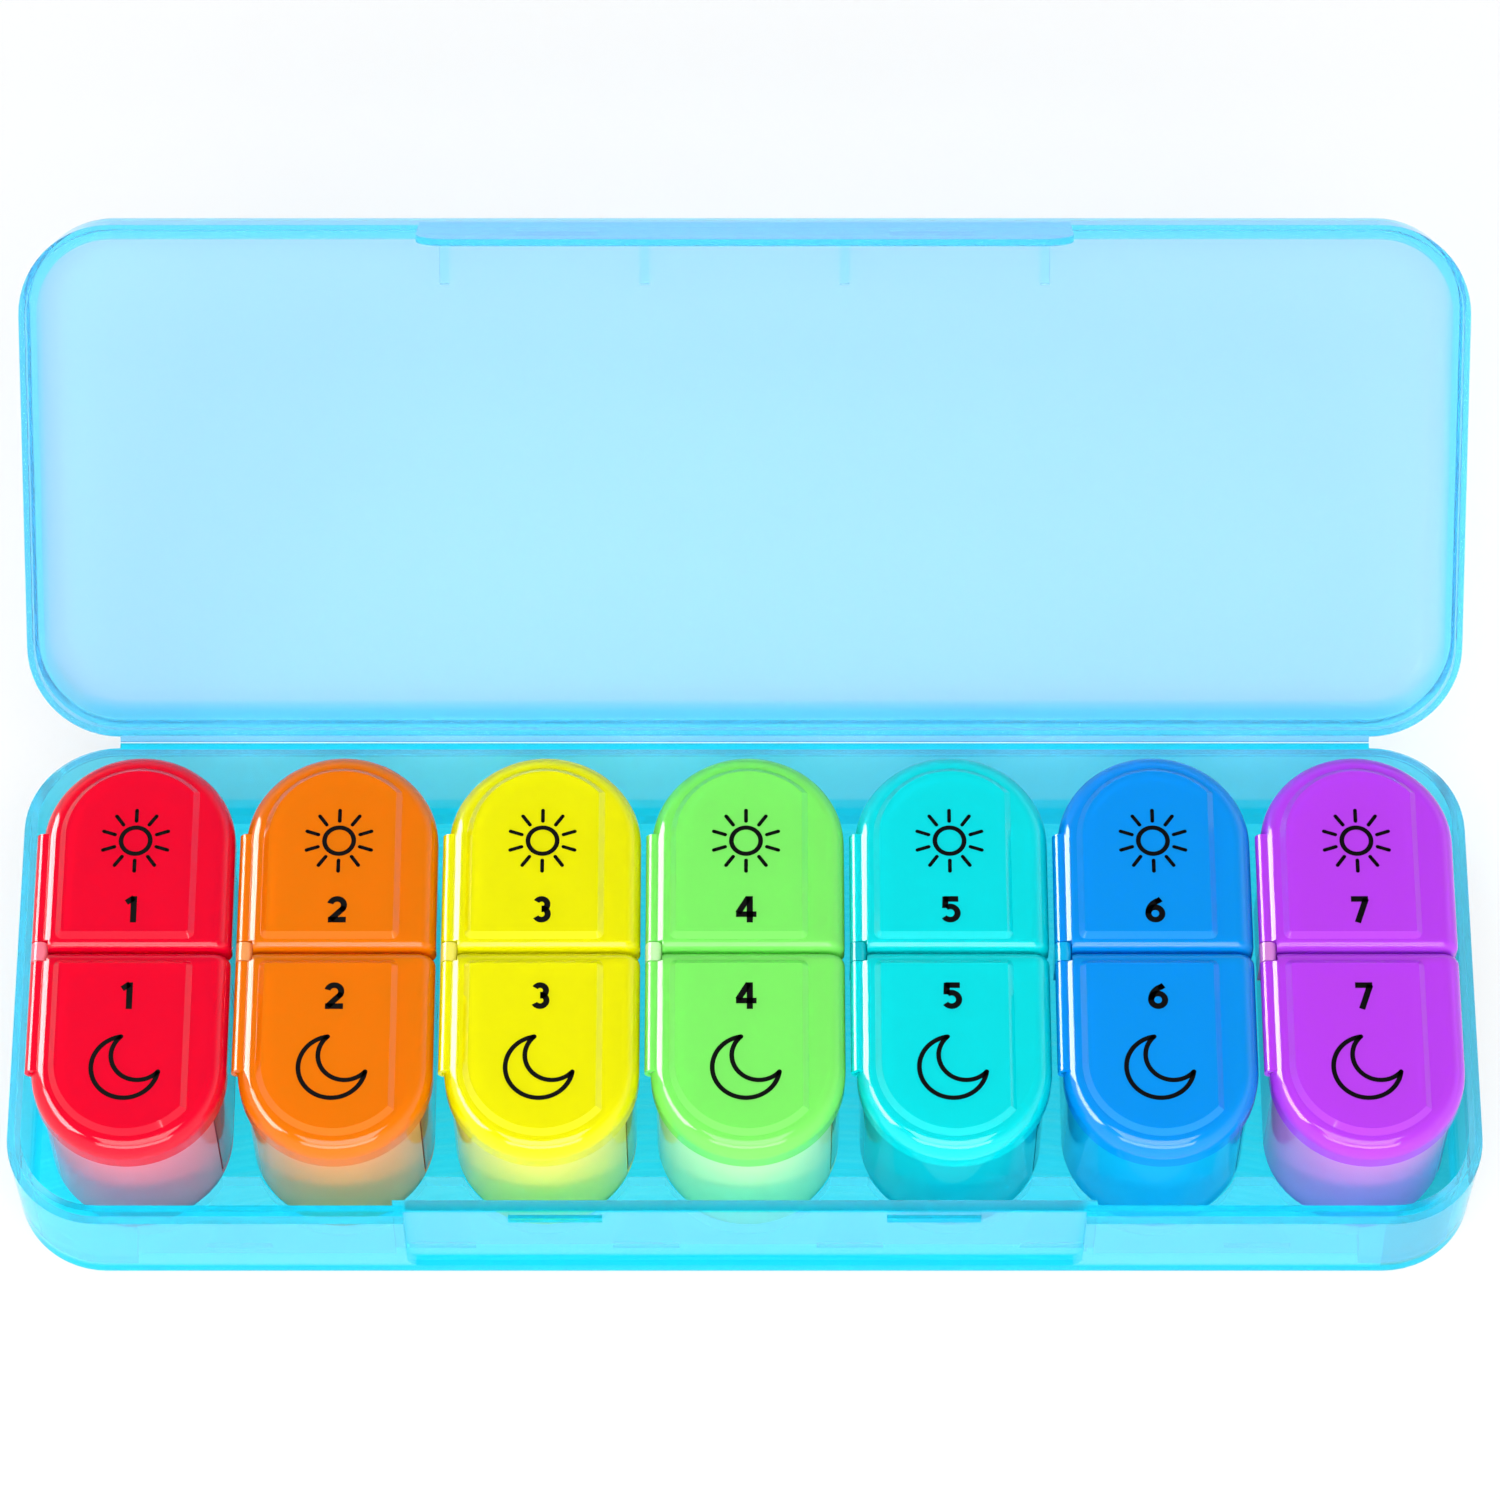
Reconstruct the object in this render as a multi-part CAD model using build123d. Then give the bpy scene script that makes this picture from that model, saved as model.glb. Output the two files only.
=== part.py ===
"""A weekly pill box: a hinged carrying case with seven lift-out pods, two lidded compartments each."""

import math
import os

from build123d import *

os.makedirs("parts", exist_ok=True)

# Outline of the closed case, seen from above.
case_length = 176.0
case_depth = 63.5
case_corner_radius = 11.2

# Tray: outer wall, floor and the raised lip that the case lid closes around.
tray_wall_height = 16.4
tray_draft_inset = 0.25
tray_floor = 1.6
tray_bottom_round = 2.0
lip_clearance = 0.15
lip_thickness = 0.8
lip_rise = 1.5

# Latch recess in the front wall, with two catch bars on its face.
recess_length = 81.0
recess_setback = 1.5
recess_floor_height = 3.3
recess_corner_round = 2.0
recess_wall = 1.35
recess_top_rise = 0.5
bar_length = 11.2
bar_height = 1.2
bar_spacing = 45.0
bar_drop = 1.2

# Case lid.
lid_depth = 12.0
lid_top_thickness = 1.4
lid_wall = 2.0
lid_rim_thickness = 0.8
lid_rebate_gap = 0.2
lid_draft_inset = 0.5
lid_outer_round = 5.0
lid_inner_round = 2.5
rim_gap = 0.1
locator_width = 1.2
locator_height = 1.5
locator_reach = 8.8
locator_count = 4

# Latch flap that hangs from the front rim of the case lid into the recess.
flap_side_gap = 1.1
flap_foot_gap = 2.2
flap_thickness = 0.85
flap_corner_round = 4.0
flap_root = 2.0
hook_shortening = 0.6
hook_height = 1.1
hook_gap = 0.1
latch_clearance = 0.15

# Film hinge between tray and case lid: a leaf on each, meeting at the fold line.
film_half_width = 0.75
film_thickness = 0.5
film_fold_gap = 0.05
case_open_angle = 139.1

# Seven pods side by side in the case, the barrels of their lids to the left.
pod_count = 7
pod_gap = 2.5
pod_end_margin = 3.5
pod_side_margin = 5.8
pod_headroom = 1.05
pod_shift = 0.4
pod_floor_gap = 0.05
body_wall = 1.1
body_floor = 1.1
body_bottom_round = 2.0
divider_thickness = 1.2

# Release chamber at the right of each pod: a straight inner wall and a push button in front of it.
chamber_inset = 3.7
chamber_wall_thickness = 0.9
chamber_floor_height = 4.0
button_thickness = 1.0
button_end_angle = 24.0
button_slit = 0.3
button_top_gap = 0.25
button_pivot_radius = 0.6
button_pivot_clearance = 0.05
button_foot_gap = 0.3
catch_length = 5.4
catch_thickness = 0.7
catch_rise = 1.6
catch_clearance = 0.1

# Pod lids, each a hollow D-shaped cap with a raised panel.
cap_overhang = 0.6
cap_seat_gap = 0.2
cap_height = 4.0
cap_skirt = 1.0
cap_top_thickness = 1.1
cap_split_gap = 0.4
cap_shoulder_round = 2.2
cap_split_round = 1.1
cap_inner_round = 0.9
panel_rise = 0.65
panel_slope_width = 0.7
panel_right_inset = 4.4
panel_split_margin = 0.1
panel_top_corner_round = 0.2

# Hinge of the pod lids: a barrel on each lid, turning on stub pins that a lug of the body carries.
barrel_radius = 1.0
barrel_setback = 0.3
barrel_rise = 2.6
barrel_start = 1.35
barrel_overrun = 0.7
pin_radius = 0.5
pin_clearance = 0.05
pin_end_gap = 0.3
lug_side_gap = 0.15
lug_depth = 1.9

# Locating cusps on the tray floor, between the rounded front ends of the pods.
cusp_height = 3.0
cusp_start = 5.55
cusp_clearance = 0.4
cusp_pocket_depth = 1.6
cusp_pocket_front_gap = 3.15
cusp_pocket_back_gap = 3.9
cusp_pocket_front_width = 8.0
cusp_pocket_back_width = 4.4

# Places and fits of the case that follow from the sizes above.
half_depth = case_depth / 2
lip_setback = lid_rim_thickness + lip_clearance
tray_inner_inset = lip_setback + lip_thickness
tray_top = tray_wall_height + lip_rise
recess_face = -half_depth + recess_setback
recess_top = tray_wall_height + recess_top_rise
bar_bottom = recess_top - bar_drop - bar_height
lid_rim = tray_wall_height + rim_gap
lid_ceiling = lid_rim + lid_depth - lid_top_thickness
flap_length = recess_length - 2 * flap_side_gap
flap_height = lid_rim - recess_floor_height - flap_foot_gap
hook_length = bar_length - 2 * hook_shortening
latch_projection = recess_setback - flap_thickness - latch_clearance
film_length = case_length - 2 * case_corner_radius
hinge_y = half_depth + film_half_width
hinge_z = tray_wall_height + rim_gap / 2

# Places and fits of the pods, which fill the case.
pod_pitch = (case_length - 2 * pod_end_margin + pod_gap) / pod_count
body_radius = (pod_pitch - pod_gap) / 2
body_inner_radius = body_radius - body_wall
pod_end_centre = half_depth - pod_side_margin - body_radius
pod_base = tray_floor + pod_floor_gap
compartment_floor = pod_base + body_floor
cap_radius = body_radius + cap_overhang
cap_shoulder = lid_ceiling - pod_headroom - panel_rise
cap_ceiling = cap_shoulder - cap_top_thickness
cap_bottom = cap_shoulder - cap_height
body_top = cap_bottom - cap_seat_gap
chamber_wall_left = body_radius - chamber_inset
chamber_wall_right = chamber_wall_left + chamber_wall_thickness
button_start = divider_thickness / 2 + button_slit
button_top = body_top - button_top_gap
button_pivot_x = body_radius - button_pivot_radius
barrel_x = -cap_radius + barrel_setback
barrel_height = cap_bottom + barrel_rise
barrel_end = pod_end_centre + barrel_overrun
lug_half = barrel_start - lug_side_gap
panel_corner_round = panel_slope_width + panel_top_corner_round
panel_slope = math.degrees(math.atan2(panel_slope_width, panel_rise))
cusp_back = pod_end_centre + cusp_start
cusp_pocket_front = half_depth - cusp_pocket_front_gap
cusp_pocket_back = cusp_back + cusp_pocket_back_gap


def case_plan(inset):
    """The case outline drawn in from its edge."""
    return RectangleRounded(case_length - 2 * inset, case_depth - 2 * inset, case_corner_radius - inset)


def block(x_range, y_range, z_range):
    """A plain block between the given limits."""
    size = [high - low for low, high in (x_range, y_range, z_range)]
    middle = [(high + low) / 2 for low, high in (x_range, y_range, z_range)]
    return Pos(*middle) * Box(*size)


def round_rod(radius, x, z, y_range):
    """A rod along the depth of the case."""
    low, high = y_range
    return Pos(x, (low + high) / 2, z) * Rot(X=90) * Cylinder(radius, high - low)


def tray_shell():
    """Tray walls and floor with the raised lip."""
    draft = math.degrees(math.atan2(tray_draft_inset, tray_wall_height))
    outer = extrude(case_plan(tray_draft_inset), tray_wall_height, taper=-draft)
    outer = fillet(outer.faces().sort_by(Axis.Z)[0].edges(), tray_bottom_round)
    lip = Pos(0, 0, tray_wall_height) * extrude(case_plan(lip_setback), lip_rise)
    cavity = Pos(0, 0, tray_floor) * extrude(case_plan(tray_inner_inset), tray_top)
    return outer + lip - cavity


def cut_latch_recess(tray):
    """Sets the middle of the front wall back and puts the catch bars on it."""
    half = recess_length / 2
    backing = block(
        (-half - recess_wall, half + recess_wall),
        (recess_face, recess_face + recess_wall),
        (tray_floor, recess_top),
    )
    opening_height = tray_top - recess_floor_height + recess_corner_round
    opening = Plane.XZ * Pos(0, recess_floor_height + opening_height / 2) * RectangleRounded(
        recess_length, opening_height, recess_corner_round
    )
    pocket = Pos(0, recess_face, 0) * extrude(opening, 2 * recess_setback)
    level = block((-half, half), (-half_depth, recess_face + recess_wall), (recess_top, 2 * tray_top))
    tray = tray + backing - pocket - level
    for side in (-1, 1):
        middle = side * bar_spacing / 2
        tray += block(
            (middle - bar_length / 2, middle + bar_length / 2),
            (recess_face - latch_projection, recess_face),
            (bar_bottom, bar_bottom + bar_height),
        )
    return tray


def pod_x(index):
    """Middle of a pod along the case, counted from 0 at the left."""
    return (index - (pod_count - 1) / 2) * pod_pitch + pod_shift


def locating_cusp(boundary):
    """A hollow cusp that fills the space between the front ends of two pods."""
    top = tray_floor + cusp_height
    cusp = block(
        (boundary - pod_pitch / 2, boundary + pod_pitch / 2),
        (-half_depth + lip_setback, -cusp_back),
        (tray_floor, top),
    )
    for side in (-1, 1):
        middle = boundary + side * pod_pitch / 2
        cusp -= Pos(middle, -pod_end_centre, top) * Cylinder(body_radius + cusp_clearance, 2 * top)
    pocket = Polygon(
        (boundary - cusp_pocket_front_width / 2, -cusp_pocket_front),
        (boundary + cusp_pocket_front_width / 2, -cusp_pocket_front),
        (boundary + cusp_pocket_back_width / 2, -cusp_pocket_back),
        (boundary - cusp_pocket_back_width / 2, -cusp_pocket_back),
        align=None,
    )
    return cusp - Pos(0, 0, top - cusp_pocket_depth) * extrude(pocket, cusp_height)


def film_leaf(z_range):
    """One leaf of the film hinge, from the wall behind to the fold line."""
    return block(
        (-film_length / 2, film_length / 2),
        (half_depth - lid_rim_thickness, hinge_y - film_fold_gap),
        z_range,
    )


def case_tray():
    """The lower half of the case with its leaf of the film hinge."""
    tray = tray_shell()
    for index in range(pod_count - 1):
        tray += locating_cusp((pod_x(index) + pod_x(index + 1)) / 2)
    return cut_latch_recess(tray) + film_leaf((tray_wall_height - film_thickness, tray_wall_height))


def latch_flap():
    """Flap with rounded lower corners and two hooks that reach under the catch bars."""
    height = flap_height + flap_root
    front = Plane.XZ * Pos(0, lid_rim - flap_height + height / 2) * Rectangle(flap_length, height)
    flap = Pos(0, -half_depth + flap_thickness, 0) * extrude(front, flap_thickness)
    corners = flap.edges().filter_by(Axis.Y).group_by(Axis.Z)[0]
    flap = fillet(corners, flap_corner_round)
    hook_top = bar_bottom - hook_gap
    inner = -half_depth + flap_thickness
    for side in (-1, 1):
        middle = side * bar_spacing / 2
        flap += block(
            (middle - hook_length / 2, middle + hook_length / 2),
            (inner, inner + latch_projection),
            (hook_top - hook_height, hook_top),
        )
    return flap


def case_lid_closed():
    """The upper half of the case, as it lies on the tray."""
    draft = math.degrees(math.atan2(lid_draft_inset, lid_depth))
    outer = Pos(0, 0, lid_rim) * extrude(case_plan(0), lid_depth, taper=draft)
    outer = fillet(outer.faces().sort_by(Axis.Z)[-1].edges(), lid_outer_round)
    hollow = Pos(0, 0, lid_rim) * extrude(case_plan(lid_wall), lid_ceiling - lid_rim)
    hollow = fillet(hollow.faces().sort_by(Axis.Z)[-1].edges(), lid_inner_round)
    rebate = Pos(0, 0, lid_rim) * extrude(case_plan(lid_rim_thickness), lip_rise + lid_rebate_gap)
    lid = outer - hollow - rebate
    for index in range(locator_count):
        middle = (index - (locator_count - 1) / 2) * pod_pitch
        lid += block(
            (middle - locator_width / 2, middle + locator_width / 2),
            (-half_depth + lid_wall, -half_depth + locator_reach),
            (lid_ceiling - locator_height, lid_ceiling),
        )
    return lid + latch_flap() + film_leaf((lid_rim, lid_rim + film_thickness))


def opened(shape):
    """Turns a piece of the closed case lid back to where it stands open."""
    hinge = Axis((0, hinge_y, hinge_z), (1, 0, 0))
    return shape.rotate(hinge, -case_open_angle)


def pod_plan(radius):
    """Outline of a pod with two round ends."""
    return SlotCenterToCenter(2 * pod_end_centre, 2 * radius, rotation=90)


def front_half(x_range, start):
    """Everything in front of the divider between two limits across the pod."""
    low, high = x_range
    reach = pod_end_centre + cap_radius
    return Pos((low + high) / 2, -(start + reach) / 2) * Rectangle(high - low, reach - start)


def button_sector(start, slit):
    """The part of the outline that the push button takes up, with a slit at its far end."""
    reach = 2 * body_radius
    angle = math.radians(button_end_angle) + slit / body_radius
    return Polygon(
        (0, -pod_end_centre),
        (reach * math.cos(angle), -pod_end_centre - reach * math.sin(angle)),
        (reach, -start),
        (0, -start),
        align=None,
    )


def pod_compartment():
    """The space for pills in front of the divider."""
    plan = pod_plan(body_inner_radius) & front_half((-body_radius, chamber_wall_left), divider_thickness / 2)
    return Pos(0, 0, compartment_floor) * extrude(plan, body_top)


def release_chamber():
    """The space behind and around the push button, open at the right, with the groove for its pivot."""
    inside = pod_plan(body_inner_radius) & front_half((chamber_wall_right, body_radius), divider_thickness / 2)
    right = front_half((chamber_wall_right, 2 * body_radius), divider_thickness / 2)
    window = button_sector(divider_thickness / 2, button_slit) & right
    space = Pos(0, 0, chamber_floor_height) * extrude(inside + window, body_top)
    groove_radius = button_pivot_radius + button_pivot_clearance
    length = (-pod_end_centre - button_slit, -divider_thickness / 2)
    return space + round_rod(groove_radius, button_pivot_x, chamber_floor_height, length)


def hinge_lug():
    """Lug at the left of the divider with a stub pin to each side."""
    left = barrel_x - barrel_radius
    lug = block((left, left + lug_depth), (-lug_half, lug_half), (body_top - lug_depth, barrel_height))
    lug += round_rod(barrel_radius, barrel_x, barrel_height, (-lug_half, lug_half))
    reach = barrel_end - pin_end_gap
    return lug + round_rod(pin_radius, barrel_x, barrel_height, (-reach, reach))


def pod_body():
    """Clear pod with two compartments and two release chambers."""
    body = Pos(0, 0, pod_base) * extrude(pod_plan(body_radius), body_top - pod_base)
    body = fillet(body.faces().sort_by(Axis.Z)[0].edges(), body_bottom_round)
    spaces = pod_compartment() + release_chamber()
    return body - spaces - mirror(spaces, Plane.XZ) + hinge_lug()


def push_button():
    """Upright plate on a round foot, with the catch for the lid on its upper edge."""
    ring = pod_plan(body_radius) - pod_plan(body_radius - button_thickness)
    foot = chamber_floor_height + button_foot_gap
    plate = Pos(0, 0, foot) * extrude(ring & button_sector(button_start, 0), button_top - foot)
    plate += round_rod(
        button_pivot_radius, button_pivot_x, chamber_floor_height, (-pod_end_centre, -button_start)
    )
    middle = -(button_start + pod_end_centre) / 2
    outer = cap_radius - cap_skirt - catch_clearance
    return plate + block(
        (outer - catch_thickness, outer),
        (middle - catch_length / 2, middle + catch_length / 2),
        (button_top - catch_rise, button_top + catch_rise),
    )


def raised_panel(inset, rise):
    """Raised panel of a pod lid, straight at the right and with sloped sides."""
    radius = cap_radius - cap_shoulder_round - inset
    right = cap_radius - panel_right_inset - inset
    start = cap_split_gap / 2 + cap_split_round + panel_split_margin + inset
    plan = pod_plan(radius) & front_half((-radius, right), start)
    corners = plan.vertices().group_by(Axis.Y)[-1]
    return extrude(fillet(corners, panel_corner_round), rise, taper=panel_slope)


def pod_cap():
    """Hollow lid of the front compartment with its hinge barrel."""
    start = cap_split_gap / 2
    plan = pod_plan(cap_radius) & front_half((-cap_radius, cap_radius), start)
    cap = Pos(0, 0, cap_bottom) * extrude(plan, cap_height)
    cap = fillet(cap.faces().sort_by(Axis.Z)[-1].edges().sort_by(Axis.Y)[:-1], cap_shoulder_round)
    cap = fillet(cap.faces().sort_by(Axis.Y)[-1].edges().sort_by(Axis.Z)[1:], cap_split_round)
    cap += Pos(0, 0, cap_shoulder) * raised_panel(0, panel_rise)
    inner = pod_plan(cap_radius - cap_skirt) & front_half(
        (-cap_radius + cap_skirt, cap_radius - cap_skirt), start + cap_skirt
    )
    hollow = Pos(0, 0, cap_bottom) * extrude(inner, cap_ceiling - cap_bottom)
    cap -= fillet(hollow.faces().sort_by(Axis.Z)[-1].edges(), cap_inner_round)
    cap -= Pos(0, 0, cap_ceiling) * raised_panel(cap_skirt, panel_rise)
    barrel = (-barrel_end, -barrel_start)
    cap += round_rod(barrel_radius, barrel_x, barrel_height, barrel)
    left = barrel_x - barrel_radius
    notch = block((left, left + lug_depth + lug_side_gap), (-barrel_start, 0), (0, 2 * cap_shoulder))
    bore = round_rod(pin_radius + pin_clearance, barrel_x, barrel_height, barrel)
    return cap - notch - bore


def write_part(name, shape):
    """Writes one piece to its own file."""
    export_step(shape, f"parts/{name}.step")


write_part("case_base", case_tray())
write_part("case_lid", opened(case_lid_closed()))

body = pod_body()
evening_cap = pod_cap()
morning_cap = mirror(evening_cap, Plane.XZ)
evening_button = push_button()
morning_button = mirror(evening_button, Plane.XZ)
pieces = {
    "body": body,
    "am_lid": morning_cap,
    "pm_lid": evening_cap,
    "am_button": morning_button,
    "pm_button": evening_button,
}
for index in range(pod_count):
    for name, piece in pieces.items():
        write_part(f"day{index + 1}_{name}", Pos(pod_x(index), 0, 0) * piece)
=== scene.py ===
import math

import bmesh
import bpy
from mathutils import Matrix, Vector


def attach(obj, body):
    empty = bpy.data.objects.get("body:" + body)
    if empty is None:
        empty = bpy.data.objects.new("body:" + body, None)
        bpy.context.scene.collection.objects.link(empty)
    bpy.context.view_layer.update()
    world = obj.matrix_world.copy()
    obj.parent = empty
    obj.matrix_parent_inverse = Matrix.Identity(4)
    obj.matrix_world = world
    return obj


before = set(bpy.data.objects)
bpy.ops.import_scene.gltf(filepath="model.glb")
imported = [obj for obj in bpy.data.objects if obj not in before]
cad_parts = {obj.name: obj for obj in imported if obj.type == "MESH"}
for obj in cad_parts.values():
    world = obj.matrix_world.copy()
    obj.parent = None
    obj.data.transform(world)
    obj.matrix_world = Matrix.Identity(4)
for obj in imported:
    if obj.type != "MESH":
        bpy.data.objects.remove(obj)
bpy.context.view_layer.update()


# Case tray: the lower half of one injection moulding in clear polypropylene with a light-blue dye.
# A film hinge at the back joins it to the lid, and two bars in its front wall hold the lid's flap.
# To the eye it is a pale blue skin. The floor, the front lip, the catch bars and the film hinge are painted a
# deeper blue, as painted shade for light that runs a long way in the plastic.
def srgb(code):
    parts = [int(code[i:i + 2], 16) / 255 for i in (1, 3, 5)]
    return [c / 12.92 if c <= 0.04045 else ((c + 0.055) / 1.055) ** 2.4 for c in parts] + [1.0]


def node(tree, kind, settings=None, links=None):
    made = tree.nodes.new(kind)
    for key, value in (settings or {}).items():
        if isinstance(key, int) or key in made.inputs:
            made.inputs[key].default_value = value
        else:
            setattr(made, key, value)
    for key, source in (links or {}).items():
        tree.links.new(source, made.inputs[key])
    return made


def figure(tree, operation, *terms):
    settings, links = {"operation": operation}, {}
    for index, term in enumerate(terms):
        (settings if isinstance(term, float) else links)[index] = term
    return node(tree, "ShaderNodeMath", settings, links).outputs[0]


def between(tree, value, start, stop, falling=False):
    settings = {"From Min": start, "From Max": stop}
    if falling:
        settings.update({"To Min": 1.0, "To Max": 0.0})
    return node(tree, "ShaderNodeMapRange", settings, {"Value": value}).outputs[0]


def empty_tree(owner):
    owner.use_nodes = True
    owner.node_tree.nodes.clear()
    return owner.node_tree


# The skin has the shallow waves that flow leaves in a moulding. They are ripple metres apart.
relief_strength = 0.02


def moulded_plastic(name, skin, ripple, depth, dye=None):
    made = bpy.data.materials.new(name)
    tree = empty_tree(made)
    place = node(tree, "ShaderNodeTexCoord")
    waves = node(
        tree, "ShaderNodeTexNoise", {"Scale": 1 / ripple, "Detail": 2.0, "Roughness": 0.5},
        {"Vector": place.outputs["Object"]},
    )
    relief = node(
        tree, "ShaderNodeBump", {"Strength": relief_strength, "Distance": depth},
        {"Height": waves.outputs["Fac"]},
    )
    shell = node(tree, "ShaderNodeBsdfPrincipled", skin, {"Normal": relief.outputs["Normal"]})
    links = {"Surface": shell.outputs[0]}
    if dye:
        links["Volume"] = node(tree, "ShaderNodeVolumeAbsorption", dye).outputs[0]
    node(tree, "ShaderNodeOutputMaterial", None, links)
    return made, place, shell


def dress(name, material):
    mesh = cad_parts[name].data
    mesh.materials.clear()
    mesh.materials.append(material)


case_ripple = 1 / 60
case_ripple_depth = 0.00001
case_gloss = 0.04
# Real polypropylene bends light more, at 1.49, but then the thick rims go dark.
case_bend = 1.08
case_dye = "#00FEFF"
hinge_axis = (0, 0.0325, 0.01645)
film_shade_edge = (0.0009, 0.0013)


def blue_polypropylene(name, density, pale, painted_shade_colour, clearness, painted_shade_mask):
    skin = {"Roughness": case_gloss, "IOR": case_bend, "Transmission Weight": clearness}
    dye = {"Color": srgb(case_dye), "Density": density}
    made, place, shell = moulded_plastic(
        f"blue_dyed_polypropylene_{name}", skin, case_ripple, case_ripple_depth, dye,
    )
    tree = made.node_tree
    from_hinge = node(
        tree, "ShaderNodeVectorMath", {"operation": "SUBTRACT", 1: hinge_axis},
        {0: place.outputs["Object"]},
    )
    across = node(
        tree, "ShaderNodeVectorMath", {"operation": "MULTIPLY", 1: (0, 1, 1)},
        {0: from_hinge.outputs["Vector"]},
    )
    reach = node(tree, "ShaderNodeVectorMath", {"operation": "LENGTH"}, {0: across.outputs["Vector"]})
    # Near the hinge axis the film hinge gets painted shade: a deeper blue in its base colour.
    film = between(tree, reach.outputs["Value"], *film_shade_edge, falling=True)
    painted_shade_amount = figure(tree, "MAXIMUM", painted_shade_mask(tree, place), film)
    # The base colour mixes the pale skin with a deeper blue where the mask is high. This is painted shade, not
    # a change in the plastic.
    tint = node(
        tree, "ShaderNodeMix", {"data_type": "RGBA", 6: srgb(pale), 7: srgb(painted_shade_colour)}, {"Factor": painted_shade_amount},
    )
    tree.links.new(tint.outputs[2], shell.inputs["Base Color"])
    dress(name, made)


tray_floor_edge = (0.0033, 0.0042)
tray_lip_edge = (0.0162, 0.0166)
tray_front_edge = (-0.03, -0.028)
catch_front = -0.0303
catch_reach = 0.0395


# Painted shade on the tray: the floor, the top of the front lip and the catch bars proud of the front wall get
# the deeper blue.
def tray_painted_shade(tree, place):
    x, y, z = node(tree, "ShaderNodeSeparateXYZ", None, {"Vector": place.outputs["Object"]}).outputs
    low = between(tree, z, *tray_floor_edge, falling=True)
    front = between(tree, y, *tray_front_edge, falling=True)
    front_lip = figure(tree, "MULTIPLY", between(tree, z, *tray_lip_edge), front)
    proud = figure(tree, "LESS_THAN", y, catch_front)
    inside = figure(tree, "LESS_THAN", figure(tree, "ABSOLUTE", x), catch_reach)
    edge = figure(tree, "MAXIMUM", low, front_lip)
    return figure(tree, "MAXIMUM", edge, figure(tree, "MULTIPLY", proud, inside))


blue_polypropylene("case_base", 420.0, "#C0EEFF", "#38E4FC", 0.8, tray_painted_shade)

# Case lid: the shallow upper half of the same moulding, standing open on the film hinge.
# It is a little clearer than the tray, and its large, thin panel is the palest face of the case.
# To the eye the walls that face its free edge are painted a deeper blue, as painted shade for light seen along
# their length.
free_edge_way = (0, 0.7559, 0.6547)
wall_turn = (0.8, 0.98)


# Painted shade on the lid: faces turned towards the free edge get the deeper blue.
def lid_painted_shade(tree, place):
    facing = node(
        tree, "ShaderNodeVectorMath", {"operation": "DOT_PRODUCT", 1: free_edge_way},
        {0: place.outputs["Normal"]},
    )
    return between(tree, facing.outputs["Value"], *wall_turn)


blue_polypropylene("case_lid", 200.0, "#C6E2FF", "#98DCFF", 0.9, lid_painted_shade)

# Seven pods: polystyrene bodies with two wells, moulded in one shot with a trace of each day's dye. Their tint
# is partly painted light: it is stronger than that trace, to stand in for the coloured light that the lids let
# into the pods.
# The push buttons at the right are springy cheeks of the same plastic, clearer because they are thin.
# To the eye the bodies are pale, milky forms of the lids' colours and the buttons are nearly glass.
styrene_gloss = 0.05
styrene_bend = 1.45
styrene_ripple_depth = 0.0001
pod_ripple = 1 / 80
pod_tints = ["#FF8498", "#FFA860", "#FFF464", "#D0FFBA", "#08C7D2", "#08B8F0", "#E08CE0"]
pod_plastics = {"milky": (0.2, ["body"]), "clear": (0.8, ["am_button", "pm_button"])}


def styrene(name, colour, clearness, ripple):
    skin = {
        "Base Color": srgb(colour), "Roughness": styrene_gloss, "IOR": styrene_bend,
        "Transmission Weight": clearness,
    }
    return moulded_plastic(name, skin, ripple, styrene_ripple_depth)[0]


for day, tint in enumerate(pod_tints, 1):
    for kind, (clearness, pieces) in pod_plastics.items():
        plastic = styrene(f"{kind}_styrene_{day}", tint, clearness, pod_ripple)
        for piece in pieces:
            dress(f"day{day}_{piece}", plastic)

# Pod lids: polystyrene with so much dye that only part of the light comes through, moulded glossy.
# Each snaps on the pod's hinge barrel at the left and catches behind its button at the right.
# To the eye they are strong, even colours with crisp highlights along the shoulders.
lid_clearness = 0.42
lid_ripple = 1 / 70
lid_colours = ["#FF0036", "#FF8C00", "#FFFC00", "#94FF78", "#00F2F6", "#00A8FF", "#D04CFF"]
for day, colour in enumerate(lid_colours, 1):
    plastic = styrene(f"dyed_styrene_{day}", colour, lid_clearness, lid_ripple)
    for piece in ("am_lid", "pm_lid"):
        dress(f"day{day}_{piece}", plastic)

# Pad print on the lids: black ink, 0.03 mm thick, pressed on by a soft pad after moulding.
# The morning lid has a sun and a plain numeral, the evening lid the numeral and a crescent moon.
# To the eye the ink is a dull black beside the gloss of the plastic, with a fine speckle in its sheen.
mm = 0.001
ink_speckle = 0.25 * mm
ink_thickness = 0.00003
pod_pitch = 0.0245
pod_shift = 0.0004
print_shift = -0.00024
print_base = 0.02605
sun_place = 0.01419
am_numeral_place = 0.005
pm_numeral_place = -0.00642
moon_place = -0.01573

ink = bpy.data.materials.new("black_pad_ink")
tree = empty_tree(ink)
place = node(tree, "ShaderNodeTexCoord")
speckle = node(
    tree, "ShaderNodeTexNoise", {"Scale": 1 / ink_speckle, "Detail": 1.0}, {"Vector": place.outputs["Object"]},
)
sheen = node(tree, "ShaderNodeMapRange", {"To Min": 0.35, "To Max": 0.5}, {"Value": speckle.outputs["Fac"]})
film = node(
    tree, "ShaderNodeBsdfPrincipled", {"Base Color": srgb("#030303"), "Specular IOR Level": 0.1},
    {"Roughness": sheen.outputs[0]},
)
node(tree, "ShaderNodeOutputMaterial", None, {"Surface": film.outputs[0]})

stroke = 0.00057
dot_sides = 20
turn_per_step = 5


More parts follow.
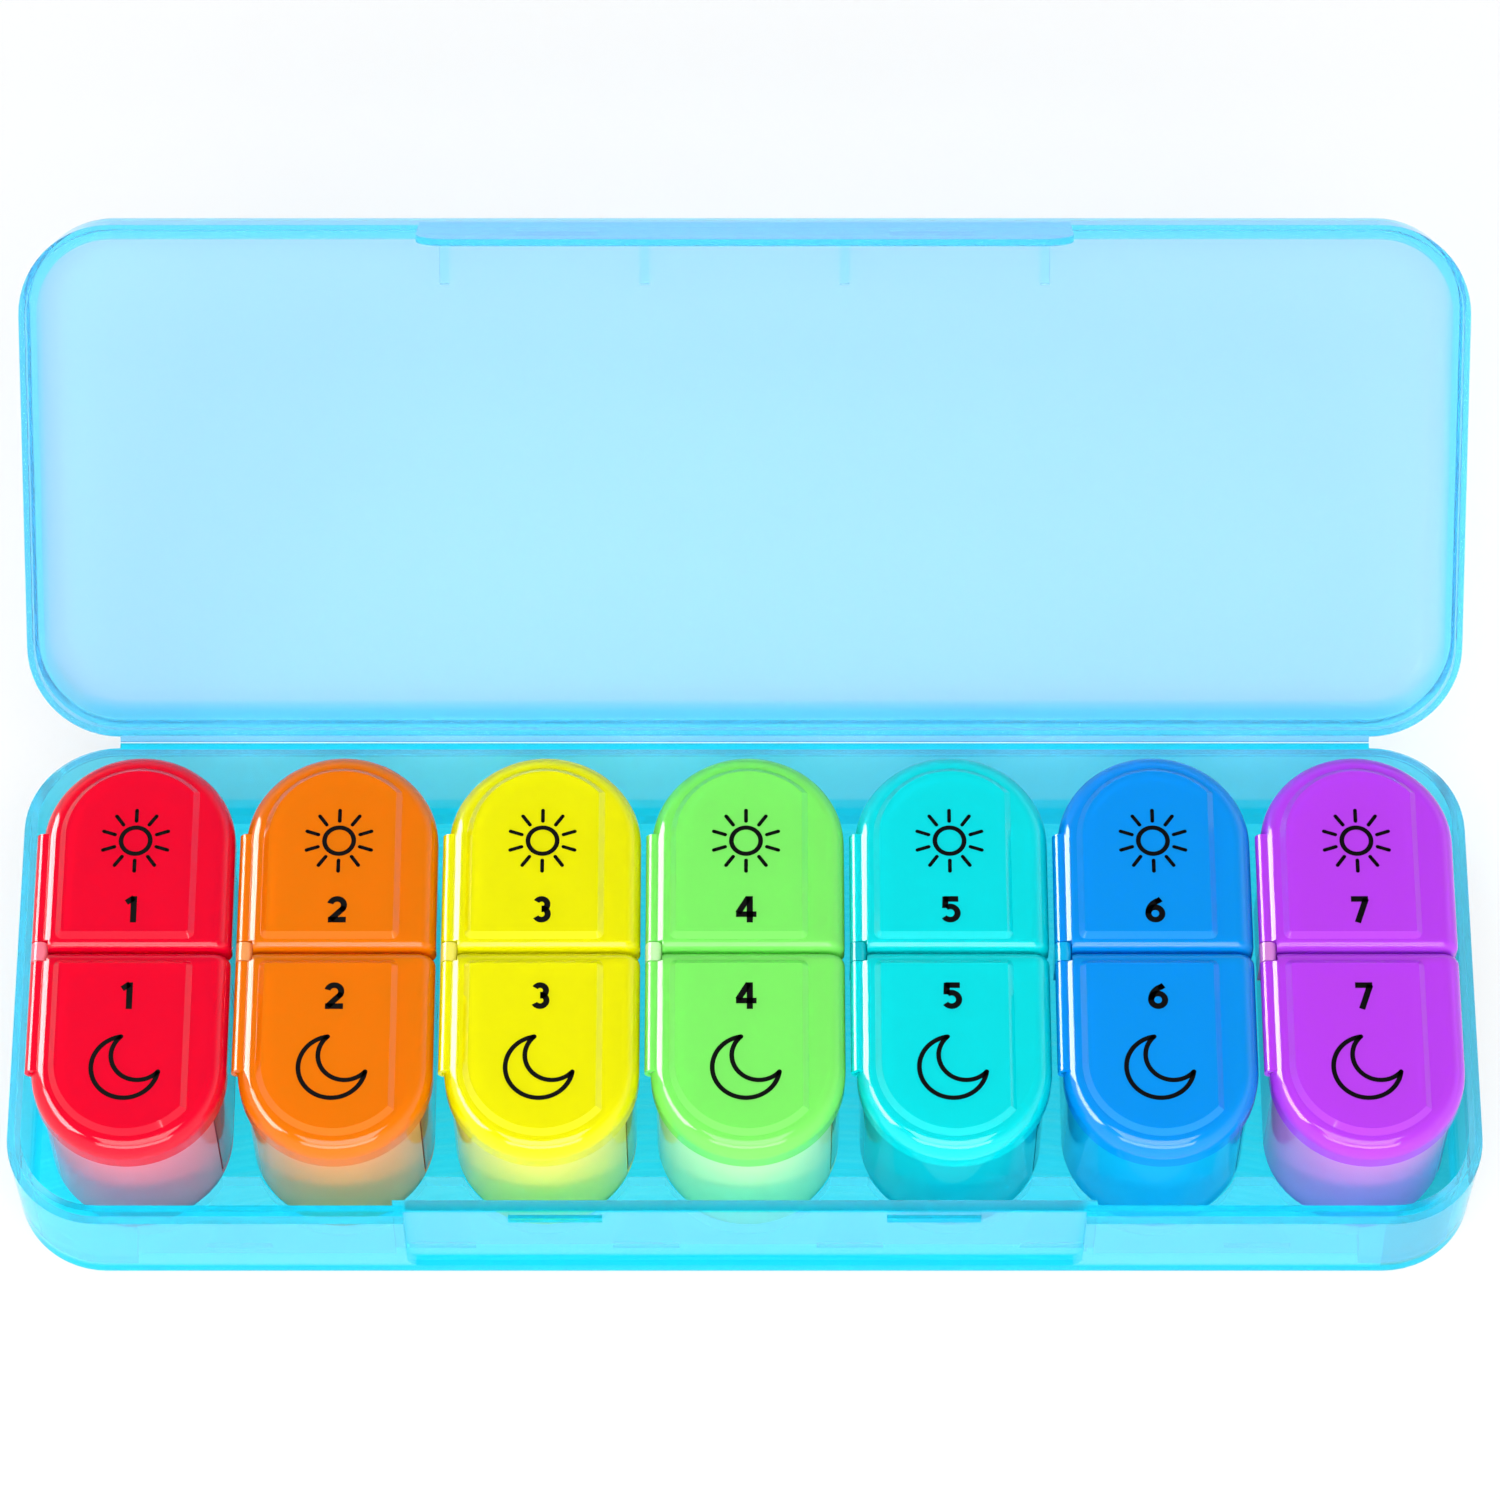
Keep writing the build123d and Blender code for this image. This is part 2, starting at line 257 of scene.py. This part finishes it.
def bar(shape, start, stop, width):
    along = stop - start
    place = Matrix.Translation((start + stop) / 2) @ Matrix.Rotation(math.atan2(along.y, along.x), 4, "Z")
    square = place @ Matrix.Diagonal((along.length, width, 1, 1))
    bmesh.ops.create_grid(shape, x_segments=1, y_segments=1, size=0.5, matrix=square)


def dot(shape, centre, width):
    place = Matrix.Translation(centre)
    bmesh.ops.create_circle(shape, cap_ends=True, segments=dot_sides, radius=width / 2, matrix=place)


def rim_point(centre, radius, turn):
    return centre + radius * Vector((math.cos(math.radians(turn)), math.sin(math.radians(turn)), 0))


def bow(shape, centre, radius, start, stop, width):
    ends = [shape.verts.new(rim_point(centre, radius + half, start)) for half in (-width / 2, width / 2)]
    geometry = [*ends, shape.edges.new(ends)]
    steps = math.ceil(abs(stop - start) / turn_per_step)
    bmesh.ops.spin(
        shape, geom=geometry, cent=centre, axis=(0, 0, 1), angle=math.radians(stop - start), steps=steps,
    )


sun_radius = 0.00176
ray_count = 10
ray_ends = (0.00264, 0.00408)
ray_stroke = 0.00046


def sun(shape, centre):
    bow(shape, centre, sun_radius, 0, 360, stroke)
    for ray in range(ray_count):
        ends = [rim_point(centre, reach, 90 + 360 / ray_count * ray) for reach in ray_ends]
        bar(shape, *ends, ray_stroke)
        for end in ends:
            dot(shape, end, ray_stroke)


moon_radius = 0.004
moon_horns = (98.7, 351.3)
bite_shift = Vector((0.001534, 0.001534, 0))
bite_radius = 0.00323
bite_ends = (131.3, 318.7)


def moon(shape, centre):
    bow(shape, centre, moon_radius, *moon_horns, stroke)
    bow(shape, centre + bite_shift, bite_radius, *bite_ends, stroke)
    for turn in moon_horns:
        dot(shape, rim_point(centre, moon_radius, turn), stroke)


# Each numeral is a set of pen strokes in mm from its middle. A stroke runs through points (x, y)
# and arcs (x, y of the centre, radius, first and last turn in degrees).
numeral_stroke = 0.00074
pen_strokes = {
    1: [[(-0.75, 0.9), (0.15, 1.55)], [(0.15, 1.75), (0.15, -1.75)]],
    2: [[(0, 0.55, 0.83, 165, -35), (-0.75, -1.38)], [(-1.05, -1.38), (1.1, -1.38)]],
    3: [[(0, 0.68, 0.7, 150, -90)], [(0, -0.62, 0.76, 90, -150)]],
    4: [[(0.3, 1.6), (-0.95, -0.5)], [(-1.2, -0.65), (1.25, -0.65)], [(0.45, 1.75), (0.45, -1.75)]],
    5: [[(-0.75, 1.38), (0.95, 1.38)], [(-0.6, 1.7), (-0.65, 0.15)], [(-0.05, -0.5, 0.88, 125, -145)]],
    6: [[(0, -0.55, 0.83, 0, 360)], [(0.95, -0.55, 1.78, 180, 108), (0.7, 1.36)]],
    7: [[(-1.0, 1.38), (1.05, 1.38)], [(0.8, 1.4), (-0.3, -1.75)]],
}


def numeral(shape, centre, day):
    for line in pen_strokes[day]:
        last, bent = None, False
        for x, y, *curve in line:
            middle = centre + Vector((x, y, 0)) * mm
            if last:
                bar(shape, last, middle, numeral_stroke)
            if bent:
                dot(shape, last, numeral_stroke)
            last, bent = middle, bool(curve)
            if bent:
                radius, start, stop = curve
                bow(shape, middle, radius * mm, start, stop, numeral_stroke)
                last = rim_point(middle, radius * mm, stop)


def mesh_object(name, shape, material):
    mesh = bpy.data.meshes.new(name)
    shape.to_mesh(mesh)
    shape.free()
    mesh.materials.append(material)
    made = bpy.data.objects.new(name, mesh)
    bpy.context.scene.collection.objects.link(made)
    return made


def printed(name, lid, draw, *where):
    shape = bmesh.new()
    draw(shape, *where)
    shape.normal_update()
    bmesh.ops.reverse_faces(shape, faces=[face for face in shape.faces if face.normal.z < 0])
    bmesh.ops.translate(shape, verts=shape.verts, vec=(0, 0, print_base + ink_thickness))
    made = mesh_object(name, shape, ink)
    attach(made, lid)


for day in range(1, 8):
    middle = (day - 4) * pod_pitch + pod_shift + print_shift
    am_lid, pm_lid = f"day{day}_am_lid", f"day{day}_pm_lid"
    printed(f"day{day}_sun", am_lid, sun, Vector((middle, sun_place, 0)))
    printed(f"day{day}_am_numeral", am_lid, numeral, Vector((middle, am_numeral_place, 0)), day)
    printed(f"day{day}_pm_numeral", pm_lid, numeral, Vector((middle, pm_numeral_place, 0)), day)
    printed(f"day{day}_moon", pm_lid, moon, Vector((middle, moon_place, 0)))

# Studio: a sheet of white paper, a surround that is white near the horizon and dim overhead, four softboxes.
# The paper looks near-white to the eye, in gloss and through clear plastic, and still keeps a soft shadow.
# The two lamps at the left show only in gloss and clear plastic, as streaks on the lids' shoulders.
floor_half = 4.0
paper_colour = "#FAFAFA"
paper_glow = 0.7

floor_shape = bmesh.new()
bmesh.ops.create_grid(floor_shape, x_segments=1, y_segments=1, size=floor_half)
paper = bpy.data.materials.new("white_paper")
tree = empty_tree(paper)
matt = node(tree, "ShaderNodeBsdfDiffuse", {"Color": srgb(paper_colour)})
white = node(tree, "ShaderNodeEmission", {"Color": (1, 1, 1, 1), "Strength": 1.0})
path = node(tree, "ShaderNodeLightPath").outputs
straight = figure(tree, "MAXIMUM", path["Is Camera Ray"], path["Is Transmission Ray"])
mirrored = figure(tree, "MAXIMUM", straight, path["Is Glossy Ray"])
# Light that has already met a dull surface gets the plain paper, so the glow lights nothing.
first = figure(tree, "LESS_THAN", path["Diffuse Depth"], 0.5)
share = figure(tree, "MULTIPLY", figure(tree, "MULTIPLY", mirrored, first), paper_glow)
sheet = node(tree, "ShaderNodeMixShader", None, {"Fac": share, 1: matt.outputs[0], 2: white.outputs[0]})
node(tree, "ShaderNodeOutputMaterial", None, {"Surface": sheet.outputs[0]})
floor = mesh_object("studio_floor", floor_shape, paper)

surround_heights = (0.35, 0.8)
surround_levels = (1.0, 0.15)
world = bpy.data.worlds.new("white_surround")
bpy.context.scene.world = world
tree = empty_tree(world)
place = node(tree, "ShaderNodeTexCoord")
split = node(tree, "ShaderNodeSeparateXYZ", None, {"Vector": place.outputs["Generated"]})
level = node(
    tree, "ShaderNodeMapRange",
    {
        "interpolation_type": "SMOOTHSTEP", "From Min": surround_heights[0], "From Max": surround_heights[1],
        "To Min": surround_levels[0], "To Max": surround_levels[1],
    },
    {"Value": split.outputs["Z"]},
)
sky = node(tree, "ShaderNodeBackground", {"Color": (1, 1, 1, 1)}, {"Strength": level.outputs[0]})
node(tree, "ShaderNodeOutputWorld", None, {"Surface": sky.outputs[0]})


def soft_lamp(name, place, aim, size, power):
    lamp = bpy.data.lights.new(name, "AREA")
    lamp.shape = "RECTANGLE"
    lamp.size, lamp.size_y = size
    lamp.energy = power
    made = bpy.data.objects.new(name, lamp)
    bpy.context.scene.collection.objects.link(made)
    made.location = place
    made.rotation_euler = (Vector(aim) - Vector(place)).to_track_quat("-Z", "Y").to_euler()
    return made


soft_lamp("overhead_softbox", (0.0, -0.48, 1.12), (0, 0.03, 0), (1.0, 0.6), 9.0)
soft_lamp("front_softbox", (0.0, -0.82, 0.72), (0, 0, 0.01), (1.2, 0.3), 7.0)
for streak in (
    soft_lamp("left_softbox", (-0.664, 0.37, 0.44), (0, 0, 0.02), (0.34, 0.44), 9.0),
    soft_lamp("corner_softbox", (-0.62, -0.09, 0.59), (0, 0, 0.02), (0.5, 0.3), 6.5),
):
    streak.visible_diffuse = False

# Camera: at the height, distance and focal length that the outline of the case in the photo gives.
# The shift sets the middle of the case where the photo has it.
photo_side = 1500
photo_focal_length = 6427
photo_middle = 744.7
sensor_width = 36.0
elevation = math.radians(62.59)
distance = 0.8076
target = Vector((0, 0.03939, 0.0012))
camera = bpy.data.cameras.new("camera")
camera.sensor_width = sensor_width
camera.lens = photo_focal_length / photo_side * sensor_width
camera.shift_x = (photo_side / 2 - photo_middle) / photo_side
camera.clip_start = 0.05
eye = bpy.data.objects.new("camera", camera)
bpy.context.scene.collection.objects.link(eye)
eye.location = target + distance * Vector((0, -math.cos(elevation), math.sin(elevation)))
eye.rotation_euler = (math.pi / 2 - elevation, 0, 0)
bpy.context.scene.camera = eye
bpy.context.scene.view_settings.view_transform = "Standard"
# Light crosses many thin walls here, and with fewer bounces the rims of the case stay dark.
bpy.context.scene.cycles.max_bounces = 32
bpy.context.scene.cycles.glossy_bounces = 24
bpy.context.scene.cycles.transmission_bounces = 32
